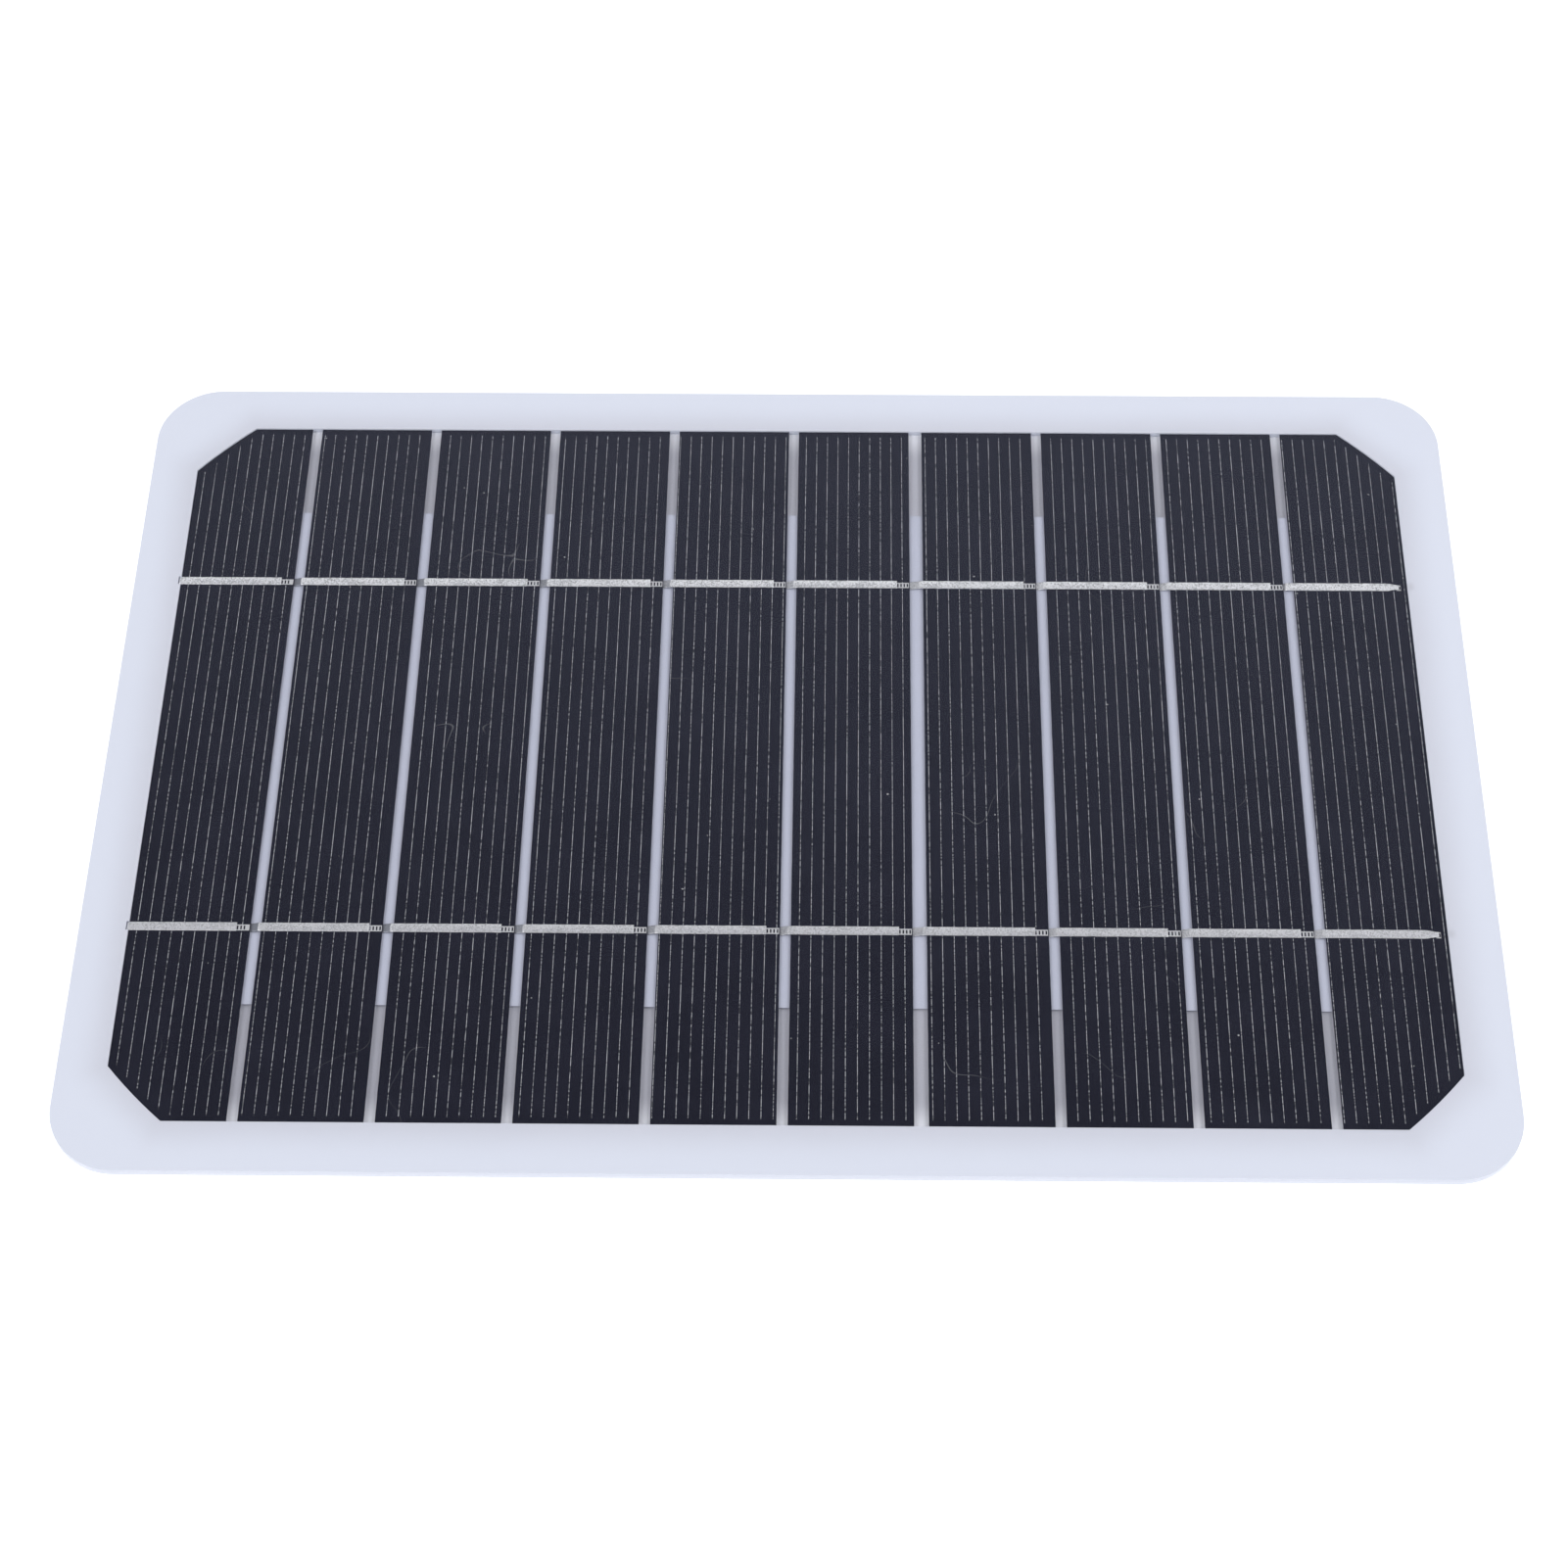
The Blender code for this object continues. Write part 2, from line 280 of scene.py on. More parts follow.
def barPastePaint(look):
    paint = Paint("busbarPaste", look["silver"], look["roughness"])
    grain = paint.noise(paint.place, look["grain"], 3.0)
    paint.set(Base_Color=paint.colour(grain, look["stain"], look["silver"]))
    paint.relief(grain, 0.006 * mm)
    return paint.material


tinLook = {
    "bright": (0.83, 0.84, 0.88),
    "dull": (0.50, 0.51, 0.545),
    "flux": (0.24, 0.24, 0.245),
    "tired": (0.50, 0.50, 0.54),  # the near row is greyer
    "tiredShare": 0.42,
    "sunk": (0.19, 0.20, 0.235),  # painted shade on the ribbon down in the gaps
    "risen": 0.72,  # how much less painted shade the gaps on the right show
    "patchGrain": 1.1 * mm,
    "pimpleGrain": 0.22 * mm,
    "roughness": 0.40,
}


def tinPaint(name, look, laidOnCells):
    paint = Paint(name, look["bright"], look["roughness"], 0.8)
    stretched = paint.vector(paint.x * 0.35, paint.y, paint.z)
    patch = paint.noise(stretched, look["patchGrain"], 3.0, 0.6)
    pimple = paint.noise(paint.place, look["pimpleGrain"], 2.0, 0.6)
    drawn = paint.noise(paint.vector(paint.x * 0.06, paint.y, paint.z), 0.08 * mm, 2.0)
    dull = paint.ease(patch * 0.35 + pimple * 0.65, 0.42, 0.60)
    colour = paint.colour(dull, look["bright"], look["dull"])
    colour = paint.colour(paint.ease(pimple, 0.60, 0.70) * 0.8, colour, look["flux"])
    if laidOnCells:
        near = 1 - paint.ease(paint.y, -20 * mm, 20 * mm)
        colour = paint.colour(near * look["tiredShare"], colour, look["tired"])
        # painted shade where the ribbon dips below the cells' top into the gaps, weaker towards the right
        low = 1 - paint.ease(paint.z, cellTop + 0.04 * mm, cellTop + 0.09 * mm)
        gapShadeStrength = 1 - paint.ease(paint.x, -85 * mm, 50 * mm) * look["risen"]
        colour = paint.colour(low * gapShadeStrength, colour, look["sunk"])
    paint.set(Base_Color=colour, Roughness=look["roughness"] + dull * 0.16 + (drawn - 0.5) * 0.1)
    paint.relief(patch * 0.3 + pimple * 0.55 + drawn * 0.15, 0.06 * mm)
    return paint.material


milkLook = {
    "clear": (0.636, 0.668, 0.768),
    "shaded": (0.545, 0.560, 0.640),
    "shadeWidth": 7.0 * mm,
    "side": (0.61, 0.64, 0.74),
    "fold": (0.36, 0.36, 0.40),
    "cloudGrain": 14 * mm,
    "frostGrain": 0.25 * mm,
    "roughness": 0.5,
}


def milkPaint(look):
    paint = Paint("milkyEncapsulant", look["clear"], look["roughness"])
    cloud = paint.noise(paint.place, look["cloudGrain"], 3.0) - 0.5
    frost = paint.noise(paint.place, look["frostGrain"], 3.0, 0.6)
    distance = distanceFromArray(paint) + cloud * 1.5 * mm
    shade = (1 - paint.ease(distance, -0.6 * mm, look["shadeWidth"])) ** 1.6
    colour = paint.colour(shade + cloud * 0.12, look["clear"], look["shaded"])
    foldX = paint.x - arrayHigh.x - 0.5 * mm
    for middle in rowMiddles.values():  # the folds beside the last cell show through faintly
        reach = paint.maths("SQRT", foldX * foldX + (paint.y - middle) * (paint.y - middle) * 0.6)
        colour = paint.colour((1 - paint.ease(reach, 0.1 * mm, 0.9 * mm)) * 0.35, colour, look["fold"])
    colour = paint.colour(paint.facing() < 0.5, colour, look["side"])
    paint.set(Base_Color=colour, Roughness=look["roughness"] + (frost - 0.5) * 0.08)
    paint.relief(frost, 0.006 * mm)
    return paint.material


# the gap floor between the cells: painted light spilling in from the margins at the strip ends (edge),
# fading to painted shade under the cells (deep)
rearLook = {
    "edge": (0.84, 0.855, 0.93),
    "deep": (0.445, 0.45, 0.525),
    "fade": 5.0 * mm,
    "roughness": 0.6,
}


def rearPaint(look):
    paint = Paint("rearEncapsulant", look["deep"], look["roughness"])
    cloud = paint.noise(paint.place, 5 * mm, 3.0) - 0.5
    inward = 0 - (abs(paint.y - arrayMiddle.y) - arrayHalf.y)
    # painted light near the strip ends, painted shade further in under the cells
    depth = paint.ease(inward + cloud * mm, -0.5 * mm, look["fade"])
    colour = paint.colour(depth, look["edge"], look["deep"])
    fine = paint.noise(paint.place, 0.3 * mm, 3.0)
    paint.set(Base_Color=paint.colour(fine * 0.12, colour, look["edge"]))
    paint.relief(fine, 0.005 * mm)
    return paint.material


sheetLook = {
    "white": (0.47, 0.492, 0.605),
    "fibre": (0.415, 0.434, 0.536),
    "grain": 0.5 * mm,
    "roughness": 0.65,
}


def sheetPaint(look):
    paint = Paint("insulatingSheet", look["white"], look["roughness"])
    fibre = paint.noise(paint.vector(paint.x, paint.y * 0.25, paint.z), look["grain"], 4.0, 0.6)
    cloud = paint.noise(paint.place, 12 * mm)
    paint.set(Base_Color=paint.colour(fibre * 0.6 + cloud * 0.4, look["white"], look["fibre"]))
    paint.relief(fibre, 0.012 * mm)
    return paint.material


# A clear film lets nearly all light through, so only a thin share of it is mirror.
filmLook = {"tint": (0.72, 0.78, 1.0), "mirrored": 0.012, "roughness": 0.30}


def filmPaint(look):
    paint = Paint("frostedFilm", look["tint"], look["roughness"], 1.0, Alpha=look["mirrored"])
    wave = paint.noise(paint.place, 28 * mm, 2.0)
    frost = paint.noise(paint.place, 0.2 * mm, 2.0, 0.6)
    paint.set(Roughness=look["roughness"] + (wave - 0.5) * 0.12 + (frost - 0.5) * 0.1)
    paint.relief(wave * 0.9 + frost * 0.008, 0.25 * mm)
    return paint.material


boardLook = {
    "milk": (0.60, 0.64, 0.74),
    "ghost": (0.53, 0.565, 0.655),
    "thread": (0.50, 0.53, 0.60),
    "weave": 0.7 * mm,
    "covered": 0.72,  # how much of the painted cell shade the insulating sheet hides
    "roughness": 0.48,
}


def boardPaint(look):
    paint = Paint("milkyBoard", look["milk"], look["roughness"])
    gaps = [(a[1].x, b[0].x) for a, b in zip(cells, cells[1:])]
    between = 0
    for low, high in gaps:  # where light comes through from the gaps
        between = between + (1 - paint.ease(abs(paint.x - (low + high) / 2), 0.1 * mm, 1.6 * mm))
    # the cells seen through the milky board: partly their own dark backs, partly painted shade where they
    # block the light coming through
    behind = 1 - paint.ease(distanceFromArray(paint), -1.4 * mm, 0.9 * mm)
    ghost = behind * (1 - paint.maths("MINIMUM", between, 1.0) * 0.6)
    sheetLow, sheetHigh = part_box("insulating_sheet")
    across = abs(paint.y - (sheetLow.y + sheetHigh.y) / 2) - (sheetHigh.y - sheetLow.y) / 2
    covered = 1 - paint.ease(across, -0.5 * mm, 0.5 * mm)
    ghost = ghost * (1 - covered * look["covered"])
    waves = 0.314 / look["weave"]  # a wave texture turns over 20 / (2 pi) times for each unit of scale
    inputs = {"Vector": paint.place, "Scale": waves, "Distortion": 0.6, "Detail": 1.0, "Detail Scale": 2.0}
    warp = paint.put("ShaderNodeTexWave", {"bands_direction": "X"}, inputs, "Fac")
    weft = paint.put("ShaderNodeTexWave", {"bands_direction": "Y"}, inputs, "Fac")
    weave = warp * weft
    cloud = paint.noise(paint.place, 18 * mm, 3.0) - 0.5
    colour = paint.colour(ghost + cloud * 0.1, look["milk"], look["ghost"])
    colour = paint.colour(weave * 0.08, colour, look["thread"])
    paint.set(Base_Color=colour, Roughness=look["roughness"] + weave * 0.06)
    paint.relief(weave, 0.01 * mm)
    return paint.material


silicon = siliconPaint(siliconLook)
paste = pastePaint(pasteLook)
barPaste = barPastePaint(barPasteLook)
ribbonTin = tinPaint("ribbonTin", tinLook, True)
busTin = tinPaint("busTin", tinLook, False)
milk = milkPaint(milkLook)
rear = rearPaint(rearLook)
insulation = sheetPaint(sheetLook)
film = filmPaint(filmLook)
board = boardPaint(boardLook)
print("materials made")


socketKinds = {float: "NodeSocketFloat", int: "NodeSocketInt", "material": "NodeSocketMaterial"}


class Recipe(Graph):  # a geometry node tree with named inputs
    def __init__(self, name, **inputs):
        tree = bpy.data.node_groups.new(name, "GeometryNodeTree")
        super().__init__(tree)
        tree.interface.new_socket("Geometry", in_out="INPUT", socket_type="NodeSocketGeometry")
        for label, kind in inputs.items():
            tree.interface.new_socket(label, in_out="INPUT", socket_type=socketKinds[kind])
        tree.interface.new_socket("Geometry", in_out="OUTPUT", socket_type="NodeSocketGeometry")
        self.entry = tree.nodes.new("NodeGroupInput")
        self.name = name

    def __getitem__(self, label):
        return Socket(self, self.entry.outputs[label])

    def position(self):  # x, y and z of each point
        split = self.put("ShaderNodeSeparateXYZ", {}, {"Vector": self.put("GeometryNodeInputPosition")})
        return split, split.other("Y"), split.other("Z")

    def wander(self, x, y, z, seed):  # smooth noise from -0.5 to 0.5
        inputs = {"Vector": self.vector(x, y, z), "W": seed, "Scale": 1.0, "Detail": 2.0}
        return self.put("ShaderNodeTexNoise", {"noise_dimensions": "4D"}, inputs) - 0.5

    def moved(self, geometry, x=0.0, y=0.0, z=0.0):
        inputs = {"Geometry": geometry, "Offset": self.vector(x, y, z)}
        return self.put("GeometryNodeSetPosition", {}, inputs)

    def plate(self, curve, bottom, thickness):  # closed plate from flat outlines, holes included
        face = self.put("GeometryNodeFillCurve", {"mode": "TRIANGLES"}, {"Curve": curve})
        face = self.moved(face, z=bottom)
        inputs = {"Mesh": face, "Offset Scale": thickness, "Individual": False}
        raised = self.put("GeometryNodeExtrudeMesh", {}, inputs)
        under = self.put("GeometryNodeFlipFaces", {}, {"Mesh": face})
        both = self.put("GeometryNodeJoinGeometry", {}, {"Geometry": [raised, under]})
        return self.put("GeometryNodeMergeByDistance", {}, {"Geometry": both, "Distance": 0.001 * mm})

    def close(self, geometry):
        real = self.put("GeometryNodeRealizeInstances", {}, {"Geometry": geometry})
        inputs = {"Geometry": real, "Material": self["material"]}
        painted = self.put("GeometryNodeSetMaterial", {}, inputs)
        self.put("NodeGroupOutput", {}, {"Geometry": painted})

    def make(self, mesh=None, **values):  # runs the tree and returns the plain mesh
        holder = bpy.data.objects.new(self.name, mesh or bpy.data.meshes.new(self.name))
        scene.collection.objects.link(holder)
        modifier = holder.modifiers.new(self.name, "NODES")
        modifier.node_group = self.tree
        for item in self.tree.interface.items_tree:
            if item.in_out == "INPUT" and item.name in values:
                modifier[item.identifier] = values[item.name]
        view = bpy.context.evaluated_depsgraph_get()
        result = bpy.data.meshes.new_from_object(holder.evaluated_get(view), depsgraph=view)
        holder.modifiers.remove(modifier)
        bpy.data.objects.remove(holder)
        return result


def loopsMesh(*loops, closed=True):  # outlines or paths as a mesh of edges
    points, edges = [], []
    for loop in loops:
        start = len(points)
        points += [tuple(p) if len(p) == 3 else (*p, 0.0) for p in loop]
        edges += [(i, i + 1) for i in range(start, len(points) - 1)]
        if closed:
            edges.append((len(points) - 1, start))
    mesh = bpy.data.meshes.new("loops")
    mesh.from_pydata(points, edges, [])
    return mesh


def dense(outline, step):  # the same outline with more points on its straight edges
    result = []
    for (x0, y0), (x1, y1) in zip(outline, outline[1:] + outline[:1]):
        count = max(1, round(hypot(x1 - x0, y1 - y0) / step))
        result += [(x0 + (x1 - x0) * i / count, y0 + (y1 - y0) * i / count) for i in range(count)]
    return result


def addPiece(name, mesh, slot, *replaced):
    mesh.name = name
    piece = bpy.data.objects.new(name, mesh)
    scene.collection.objects.link(piece)
    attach(piece, "root")
    if replaced:
        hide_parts(*replaced)
    return piece


def coat(node, material):  # a CAD piece that keeps its shape
    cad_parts[node].material_slots[0].material = material


coat("front_film", film)
coat("back_board", board)
coat("rear_encapsulant", rear)
coat("insulating_sheet", insulation)
for side in ("negative", "positive"):
    coat(f"{side}_bus", busTin)
    coat(f"{side}_lead", busTin)


border = {"clearance": 0.03 * mm, "foldGap": 0.02 * mm}


def cutPlate():
    recipe = Recipe(
        "cutPlate", bottom=float, thickness=float, chip=float, grain=float, seed=float, material="material")
    curve = recipe.put("GeometryNodeMeshToCurve", {}, {"Mesh": recipe["Geometry"]})
    x, y, z = recipe.position()
    grain, seed, chip = recipe["grain"], recipe["seed"], recipe["chip"]
    shiftX = recipe.wander(x / grain, y / grain, 0.0, seed) * chip
    shiftY = recipe.wander(x / grain, y / grain, 9.0, seed) * chip
    recipe.close(recipe.plate(recipe.moved(curve, shiftX, shiftY), recipe["bottom"], recipe["thickness"]))
    return recipe


plateRecipe = cutPlate()


def cornerPoints(cell, side):  # that cell's outer end, from the far corner to the near one
    sign = 1 if side == "right" else -1
    grow = border["clearance"]
    inner = cells[cell][0].x if side == "right" else cells[cell][1].x
    outer = [p for p in outlineOf(cellNames[cell]) if (p[0] - inner) * sign > mm]
    outer = [(x + sign * grow, y + (grow if y > 0 else -grow)) for x, y in outer]
    return sorted(outer, key=lambda p: -p[1])


def buildBorder():
    leftEnd = cornerPoints(0, "left")
    upper = [p for p in leftEnd if p[1] > 0]
    lower = [p for p in leftEnd if p[1] < 0]
    edge = arrayLow.x - border["clearance"]
    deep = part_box("negative_ribbon_far")[0].x - border["foldGap"]
    half = ribbonWidth / 2 + border["foldGap"]
    notches = []  # one where each ribbon folds down round the first cell
    for middle in (rowMiddles["far"], rowMiddles["near"]):
        upperY, lowerY = middle + half, middle - half
        notches += [(edge, upperY), (deep, upperY), (deep, lowerY), (edge, lowerY)]
    hollow = upper + notches + lower + cornerPoints(-1, "right")[::-1]
    low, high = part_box("front_encapsulant")
    mesh = plateRecipe.make(
        loopsMesh(outlineOf("front_encapsulant"), hollow), bottom=low.z, thickness=high.z - low.z,
        chip=0.0, grain=mm, seed=1.0, material=milk)
    addPiece("encapsulantBorder", mesh, "encapsulant", "front_encapsulant")


buildBorder()
print("border made")


wafer = {"step": 0.4 * mm, "chip": 0.07 * mm, "chipGrain": 1.3 * mm}

for number, name in enumerate(cellNames, 1):
    low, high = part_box(name)
    mesh = plateRecipe.make(
        loopsMesh(dense(outlineOf(name), wafer["step"])), bottom=low.z, thickness=high.z - low.z,
        chip=wafer["chip"], grain=wafer["chipGrain"], seed=3.7 * number, material=silicon)
    addPiece(f"wafer_{number:02d}", mesh, "silicon", name)
print("cells made")


fingers = {
    "pitch": 1.718 * mm,
    "width": 0.092 * mm,
    "height": 0.012 * mm,
    "margin": 1.05 * mm,  # bare silicon past the ends
    "sideMargin": 0.25 * mm,
    "wobble": 0.05 * mm,
    "segments": 150,
    "start": 1.2 * mm,  # from the first cell's left edge to its first finger
}


def fingerGrid():
    recipe = Recipe(
        "fingerGrid", count=int, pitch=float, first=float, middle=float, halfLength=float,
        waferMiddle=float, waferReach=float, width=float, height=float, bottom=float, segments=int,
        wobble=float, seed=float, material="material")
    start = recipe.vector(recipe["first"], recipe["middle"], recipe["bottom"] + recipe["height"] * 0.5)
    inputs = {"Count": recipe["count"], "Start Location": start, "Offset": recipe.vector(recipe["pitch"])}
    line = recipe.put("GeometryNodeMeshLine", {"mode": "OFFSET"}, inputs)
    size = recipe.vector(recipe["width"], 1.0, recipe["height"])
    bar = recipe.put("GeometryNodeMeshCube", {}, {"Size": size, "Vertices Y": recipe["segments"]})
    x, y, z = recipe.position()
    reach = recipe.maths("SQRT", recipe["waferReach"] ** 2.0 - (x - recipe["waferMiddle"]) ** 2.0)
    length = recipe.maths("MINIMUM", reach, recipe["halfLength"]) * 2.0
    inputs = {"Points": line, "Instance": bar, "Scale": recipe.vector(1.0, length, 1.0)}
    placed = recipe.put("GeometryNodeInstanceOnPoints", {}, inputs)
    real = recipe.put("GeometryNodeRealizeInstances", {}, {"Geometry": placed})
    slow = recipe.wander(x / recipe["pitch"], y / (11 * mm), 0.0, recipe["seed"]) * 1.6
    quick = recipe.wander(x / recipe["pitch"], y / (1.4 * mm), 5.0, recipe["seed"]) * 0.9
    recipe.close(recipe.moved(real, (slow + quick) * recipe["wobble"]))
    return recipe


fingerRecipe = fingerGrid()
for number, (low, high) in enumerate(cells, 1):
    # strips cut one after another: each one's print goes on where the one before it stopped
    cutAway = (number - 1) * (high.x - low.x)
    first = low.x + (fingers["start"] - cutAway) % fingers["pitch"]
    count = int((high.x - fingers["sideMargin"] - first) / fingers["pitch"]) + 1
    waferMiddle = (low.x + high.x) / 2
    if number == 1:
        waferMiddle = low.x + waferHalf
    if number == len(cells):
        waferMiddle = high.x - waferHalf
    mesh = fingerRecipe.make(
        count=count, pitch=fingers["pitch"], first=first, middle=(low.y + high.y) / 2,
        halfLength=(high.y - low.y) / 2 - fingers["margin"], waferMiddle=waferMiddle,
        waferReach=waferRadius - fingers["margin"], width=fingers["width"], height=fingers["height"],
        bottom=cellTop, segments=fingers["segments"], wobble=fingers["wobble"], seed=float(number),
        material=paste)
    addPiece(f"fingers_{number:02d}", mesh, "tinned_copper")
print("fingers made")

busbar = {
    "width": 1.0 * mm,
    "shift": -0.1 * mm,  # towards the near side of its ribbon
    "height": 0.014 * mm,
    "slotPitch": 0.5 * mm,
    "slotWidth": 0.23 * mm,
    "slotLength": 0.65 * mm,
    "firstSlot": 0.14 * mm,  # from the ribbon's end
    "underRibbon": 0.4 * mm,
    "ribbonStop": 2.0 * mm,  # from the ribbon's end to the cell's edge
    "endGap": 0.12 * mm,
    "lastRibbonStop": 1.3 * mm,
    "lastEndGap": 1.0 * mm,
    "slots": 4,
    "firstCellSlots": 3,
    "lastCellSlots": 1,
}


def slottedBar():
    recipe = Recipe(
        "slottedBar", left=float, right=float, middle=float, width=float, slots=int, firstSlot=float,
        slotPitch=float, slotWidth=float, slotLength=float, bottom=float, height=float, material="material")
    inputs = {"Width": recipe["right"] - recipe["left"], "Height": recipe["width"]}
    frameCurve = recipe.put("GeometryNodeCurvePrimitiveQuadrilateral", {"mode": "RECTANGLE"}, inputs)
    frameCurve = recipe.moved(frameCurve, (recipe["left"] + recipe["right"]) * 0.5, recipe["middle"])
    inputs = {"Width": recipe["slotWidth"], "Height": recipe["slotLength"]}
    slot = recipe.put("GeometryNodeCurvePrimitiveQuadrilateral", {"mode": "RECTANGLE"}, inputs)
    start = recipe.vector(recipe["firstSlot"], recipe["middle"])
    spacing = recipe.vector(recipe["slotPitch"])
    inputs = {"Count": recipe["slots"], "Start Location": start, "Offset": spacing}
    line = recipe.put("GeometryNodeMeshLine", {"mode": "OFFSET"}, inputs)
    placed = recipe.put("GeometryNodeInstanceOnPoints", {}, {"Points": line, "Instance": slot})
    holes = recipe.put("GeometryNodeRealizeInstances", {}, {"Geometry": placed})
    curves = recipe.put("GeometryNodeJoinGeometry", {}, {"Geometry": [frameCurve, holes]})
    recipe.close(recipe.plate(curves, recipe["bottom"], recipe["height"]))
    return recipe


barRecipe = slottedBar()
for number, (low, high) in enumerate(cells, 1):
    last = number == len(cells)
    ribbonEnd = high.x - busbar["lastRibbonStop" if last else "ribbonStop"]
    right = high.x - busbar["lastEndGap" if last else "endGap"]
    slots = busbar["lastCellSlots" if last else "firstCellSlots" if number == 1 else "slots"]
    for row, middle in rowMiddles.items():
        mesh = barRecipe.make(
            left=ribbonEnd - busbar["underRibbon"], right=right, middle=middle + busbar["shift"],
            width=busbar["width"], slots=slots, firstSlot=ribbonEnd + busbar["firstSlot"],
            slotPitch=busbar["slotPitch"],
            slotWidth=busbar["slotWidth"], slotLength=busbar["slotLength"], bottom=cellTop,
            height=busbar["height"], material=barPaste)
        addPiece(f"busbar_{row}_{number:02d}", mesh, "tinned_copper")
print("busbars made")


ribbon = {
    "step": 0.14 * mm,
    "crown": 0.03 * mm,
    "relief": 0.05 * mm,
    "grain": 0.33 * mm,
    "sway": 0.10 * mm,
    "bend": 0.25 * mm,
    "clearance": 0.2 * mm,  # from a cell's edge to the bend in the gap
    "steepRise": 0.45 * mm,
    "lastReach": 0.7 * mm,  # the last pair runs further and narrows
    "lastTaper": 0.45,
}


def softRibbon():
    recipe = Recipe(
        "softRibbon", width=float, thickness=float, middle=float, segments=int, crown=float, relief=float,
        grain=float, sway=float, bend=float, taper=float, seed=float, material="material")
    curve = recipe.put("GeometryNodeMeshToCurve", {}, {"Mesh": recipe["Geometry"]})
    inputs = {"Curve": curve, "Radius": recipe["bend"], "Count": 5, "Limit Radius": True}
    curve = recipe.put("GeometryNodeFilletCurve", {"mode": "POLY"}, inputs)
    inputs = {"Size": (1.0, 1.0, 1.0), "Vertices X": recipe["segments"], "Vertices Y": 9}
    block = recipe.put("GeometryNodeMeshCube", {}, inputs)
    x, y, z = recipe.position()
    inputs = {"Curves": curve, "Factor": x + 0.5}
    along = recipe.put("GeometryNodeSampleCurve", {"mode": "FACTOR"}, inputs, "Position")
    tangent = along.other("Tangent")
    up = recipe.vectorMaths("CROSS_PRODUCT", tangent, (0.0, 1.0, 0.0))
    placeX = recipe.put("ShaderNodeSeparateXYZ", {}, {"Vector": along})
    inFront = recipe.ease(placeX.other("Z"), cellTop - 0.08 * mm, cellTop + 0.04 * mm)
    across = y * recipe["width"] * (1 - recipe.ease(x, 0.44, 0.5) * recipe["taper"])
    wide, grain, seed = placeX / recipe["grain"], recipe["grain"], recipe["seed"]
    bumps = recipe.wander(wide * 0.6, across / grain, z, seed) * recipe["relief"]
    lumps = recipe.wander(wide * 0.16, across / grain * 0.5, 4.0, seed) * recipe["relief"]
    dome = (1 - (y * 2.0) ** 2.0) * recipe["crown"]
    # solder stands up only in front, so the half behind the cells stays flat and clear of them
    lift = z * recipe["thickness"] + (z > 0.0) * (dome + bumps + lumps) * inFront
    swing = recipe.wander(wide * 0.22, 0.0, 7.0, seed) * recipe["sway"]
    side = recipe.maths("SIGN", y) * 3.0
    edge = recipe.wander(wide * 0.7, side, 8.0, seed) * recipe["sway"] * abs(y) * 1.6
    raised = recipe.put("ShaderNodeVectorMath", {"operation": "SCALE"}, {0: up, "Scale": lift})
    sideways = recipe.vector(0.0, recipe["middle"] + across + swing + edge, 0.0)
    place = recipe.vectorMaths("ADD", recipe.vectorMaths("ADD", along, raised), sideways)
    shaped = recipe.put("GeometryNodeSetPosition", {}, {"Geometry": block, "Position": place})
    recipe.close(shaped)
    return recipe


ribbonRecipe = softRibbon()
frontLevel = ribbonHigh.z - ribbonThickness / 2
backLevel = ribbonLow.z + ribbonThickness / 2
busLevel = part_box("negative_ribbon_far")[0].z + ribbonThickness / 2


def buildRibbon(name, path, middle, seed, taper=0.0):
    length = sum((Vector(b) - Vector(a)).length for a, b in zip(path, path[1:]))
    mesh = ribbonRecipe.make(
        loopsMesh(path, closed=False), width=ribbonWidth, thickness=ribbonThickness, middle=middle,
        segments=round(length / ribbon["step"]), crown=ribbon["crown"], relief=ribbon["relief"],
        grain=ribbon["grain"], sway=ribbon["sway"], bend=ribbon["bend"], taper=taper, seed=seed,
        material=ribbonTin)
    for polygon in mesh.polygons:
        polygon.use_smooth = True
    addPiece(f"tinned_{name}", mesh, "tinned_copper", name)


for rowSeed, (row, middle) in enumerate(rowMiddles.items()):
    for number in range(1, len(cells)):
        name = f"link_ribbon_{row}_{number:02d}"
        low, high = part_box(name)
        last = number == len(cells) - 1
        end = high.x + (ribbon["lastReach"] if last else 0.0)
        gapLeft, gapRight = cells[number - 1][1].x, cells[number][0].x
        steep = last and row == "far"  # this one comes up close to the cell it leaves
        top = gapLeft + ribbon["steepRise"] if steep else gapRight - ribbon["clearance"]
        path = [
            (low.x, 0, backLevel),
            (gapLeft + ribbon["clearance"], 0, backLevel),
            (top, 0, frontLevel),
            (end, 0, frontLevel),
        ]
        buildRibbon(name, path, middle, 11.3 * number + 170 * rowSeed, ribbon["lastTaper"] if last else 0.0)
    low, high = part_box(f"negative_ribbon_{row}")
    outside = low.x + ribbonThickness / 2
    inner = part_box("negative_bus")[1].x
    path = [(inner, 0, busLevel), (outside, 0, busLevel), (outside, 0, frontLevel), (high.x, 0, frontLevel)]
    buildRibbon(f"negative_ribbon_{row}", path, middle, 61.0 + 170 * rowSeed)
    low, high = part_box(f"positive_ribbon_{row}")
    outside = high.x - ribbonThickness / 2
    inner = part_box("positive_bus")[0].x
    path = [(low.x, 0, backLevel), (outside, 0, backLevel), (outside, 0, busLevel), (inner, 0, busLevel)]
    buildRibbon(f"positive_ribbon_{row}", path, middle, 83.0 + 170 * rowSeed)
print("ribbons made")


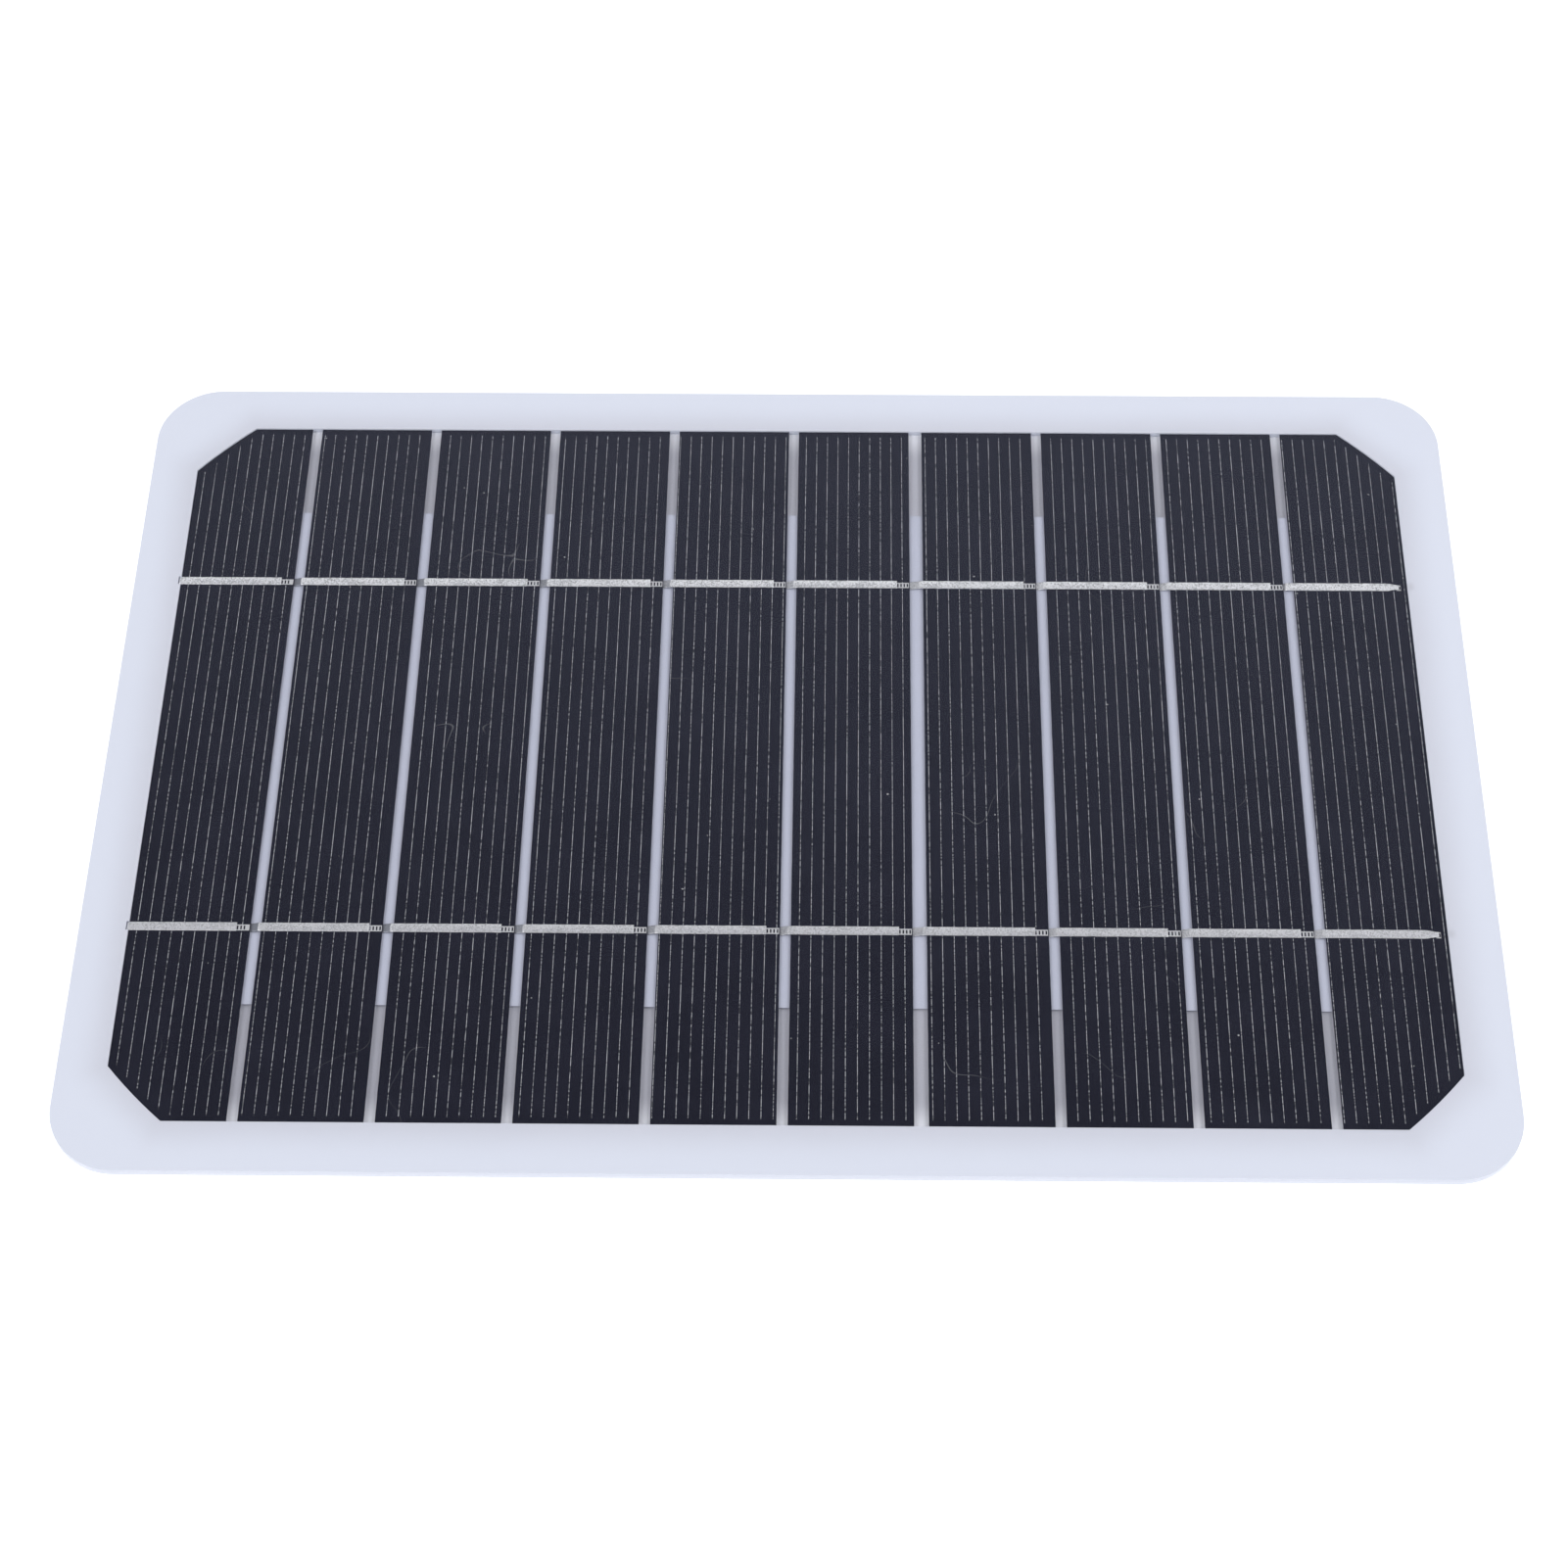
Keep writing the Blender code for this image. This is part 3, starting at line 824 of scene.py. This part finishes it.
studio = {
    "floorSize": 8.0,
    "floorTiles": 41,
    "floorGap": 0.1 * mm,
    "floorColour": (0.55, 0.55, 0.55),
    "floorGlow": 0.72,
    "skyTop": 0.12,
    "skyMiddle": 0.32,
    "skyEdge": 1.05,
    "softboxes": {  # place, size in metres, power in watts
        "leftSoftbox": ((-0.9, -0.3, 0.8), (0.9, 0.9), 8.2),
        "rightSoftbox": ((0.95, -0.1, 0.8), (0.9, 0.9), 8.9),
        "backSoftbox": ((0.1, 0.9, 0.9), (1.2, 0.6), 1.5),
    },
}


def buildFloor():
    tiles = studio["floorTiles"]
    plane = bmesh.new()
    place = Matrix.Translation((0, 0, -studio["floorGap"]))
    half = studio["floorSize"] / 2
    bmesh.ops.create_grid(plane, x_segments=tiles, y_segments=tiles, size=half, matrix=place)
    mesh = bpy.data.meshes.new("floor")
    plane.to_mesh(mesh)
    plane.free()
    paint = Paint("paleFloor", studio["floorColour"], 0.8)
    paint.feed(paint.shader.inputs["Emission Color"], (1.0, 1.0, 1.0, 1.0))
    paint.feed(paint.shader.inputs["Emission Strength"], studio["floorGlow"])
    under = paint.put("ShaderNodeNewGeometry", {}, {}, "Backfacing")
    clear = paint.put("ShaderNodeBsdfTransparent")
    shader = Socket(paint, paint.shader.outputs[0])
    mixed = paint.put("ShaderNodeMixShader", {}, {0: under, 1: shader, 2: clear})
    paint.tree.links.new(mixed.output, paint.tree.nodes["Material Output"].inputs["Surface"])
    mesh.materials.append(paint.material)
    floor = bpy.data.objects.new("floor", mesh)
    scene.collection.objects.link(floor)


def buildSky():
    world = bpy.data.worlds.new("softSky")
    world.use_nodes = True
    scene.world = world
    graph = Graph(world.node_tree)
    direction = graph.put("ShaderNodeTexCoord", {}, {}, "Generated")
    height = graph.put("ShaderNodeSeparateXYZ", {}, {"Vector": direction}, "Z")
    top, middle, edge = ((studio[k],) * 3 for k in ("skyTop", "skyMiddle", "skyEdge"))
    stops = [(0.0, edge), (0.25, edge), (0.78, middle), (1.0, top)]
    colour = graph.put("ShaderNodeValToRGB", {"stops": stops}, {"Fac": height})
    background = world.node_tree.nodes["Background"]
    graph.feed(background.inputs["Color"], colour)


def addSoftbox(name, place, size, power):
    light = bpy.data.lights.new(name, "AREA")
    light.shape = "RECTANGLE"
    light.size, light.size_y = size
    light.energy = power
    lamp = bpy.data.objects.new(name, light)
    lamp.location = place
    lamp.rotation_euler = (-Vector(place)).to_track_quat("-Z", "Y").to_euler()  # towards the origin
    scene.collection.objects.link(lamp)


viewpoint = {
    "lens": 69.1,
    "shift": -0.02,
    "aim": Vector((3.7, -5.7, 1.5)) * mm,
    "distance": 454.7 * mm,
    "angles": (32.27, 0.24, 0.57),  # degrees from straight down, of lean and of turn
}


def addCamera():
    camera = bpy.data.cameras.new("camera")
    camera.lens = viewpoint["lens"]
    camera.shift_x = viewpoint["shift"]
    camera.sensor_width = 36
    camera.clip_start = 0.01
    turned = Euler([radians(angle) for angle in viewpoint["angles"]])
    rig = bpy.data.objects.new("camera", camera)
    rig.location = viewpoint["aim"] + turned.to_matrix() @ Vector((0, 0, viewpoint["distance"]))
    rig.rotation_euler = turned
    scene.collection.objects.link(rig)
    scene.camera = rig


buildFloor()
buildSky()
for name, (place, size, power) in studio["softboxes"].items():
    addSoftbox(name, place, size, power)
addCamera()
scene.view_settings.view_transform = "Standard"
print("stage ready")
